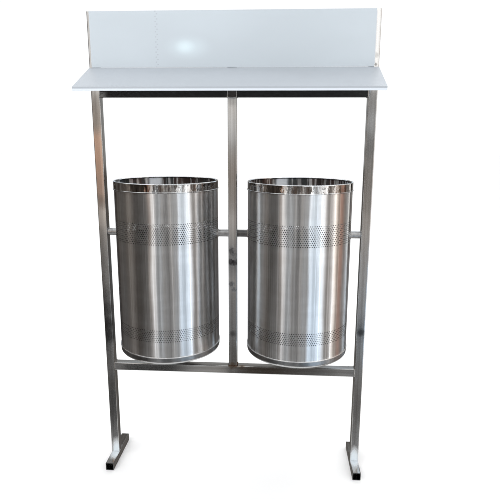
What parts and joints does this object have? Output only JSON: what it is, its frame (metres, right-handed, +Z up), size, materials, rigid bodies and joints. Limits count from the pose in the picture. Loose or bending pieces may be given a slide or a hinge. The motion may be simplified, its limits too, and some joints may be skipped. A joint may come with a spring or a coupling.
{
  "type": "litter bin",
  "caption": "Swing litter bin: round perforated buckets that tip on side pivots in a square-tube stand with a sloping canopy and an upright sign panel.",
  "frame": {"origin": "on the ground plane, under the middle of the centre post, which is the middle of the overall box", "axes": "+Z up along the posts; +X along the rails, towards the right bucket as seen from the front; +Y from the canopy's front lip side towards the back"},
  "size_m": [0.8128, 0.3094, 1.3917],
  "materials": {
    "tube_steel": "satin stainless tube",
    "dark_rail": "near-black semi-gloss",
    "bucket_steel": "vertically brushed stainless sheet, perforated in two bands",
    "polished_steel": "mirror-polished stainless rings",
    "white_sheet": "smooth bluish-white coated sheet",
    "zinc": "plain fasteners",
    "pivot_steel": "turned stainless rod",
    "tape": "foam bonding tape"
  },
  "bodies": {
    "stand": {"left_foot": "tube_steel", "right_foot": "tube_steel", "left_post": "tube_steel", "right_post": "tube_steel", "center_post": "tube_steel", "lower_rail": "tube_steel", "upper_rail_left": "dark_rail", "upper_rail_right": "dark_rail", "post_caps": "tube_steel", "canopy": "white_sheet", "canopy_bracket_left": "white_sheet", "canopy_bracket_center": "white_sheet", "canopy_bracket_right": "white_sheet", "canopy_rivets": "zinc", "sign_panel": "white_sheet", "panel_tape": "tape", "left_pivot_rod": "pivot_steel", "center_pivot_rod": "pivot_steel", "right_pivot_rod": "pivot_steel", "thrust_washers": "zinc", "retaining_washers": "zinc", "lock_nuts": "zinc"},
    "left_bin": {"left_bin_shell": "bucket_steel", "left_bin_rim": "polished_steel", "left_bin_base_ring": "polished_steel", "left_bin_bottom": "bucket_steel", "left_bin_outer_sleeve": "pivot_steel", "left_bin_inner_sleeve": "pivot_steel", "left_bin_outer_doubler": "bucket_steel", "left_bin_inner_doubler": "bucket_steel"},
    "right_bin": {"right_bin_shell": "bucket_steel", "right_bin_rim": "polished_steel", "right_bin_base_ring": "polished_steel", "right_bin_bottom": "bucket_steel", "right_bin_outer_sleeve": "pivot_steel", "right_bin_inner_sleeve": "pivot_steel", "right_bin_outer_doubler": "bucket_steel", "right_bin_inner_doubler": "bucket_steel"}
  },
  "joints": [
    {"name": "left_bin_swing", "type": "hinge", "parent": "stand", "child": "left_bin", "pos_m": [-0.198, 0, 0.769], "axis": [1, 0, 0], "continuous": true},
    {"name": "right_bin_swing", "type": "hinge", "parent": "stand", "child": "right_bin", "pos_m": [0.198, 0, 0.769], "axis": [1, 0, 0], "continuous": true}
  ]
}
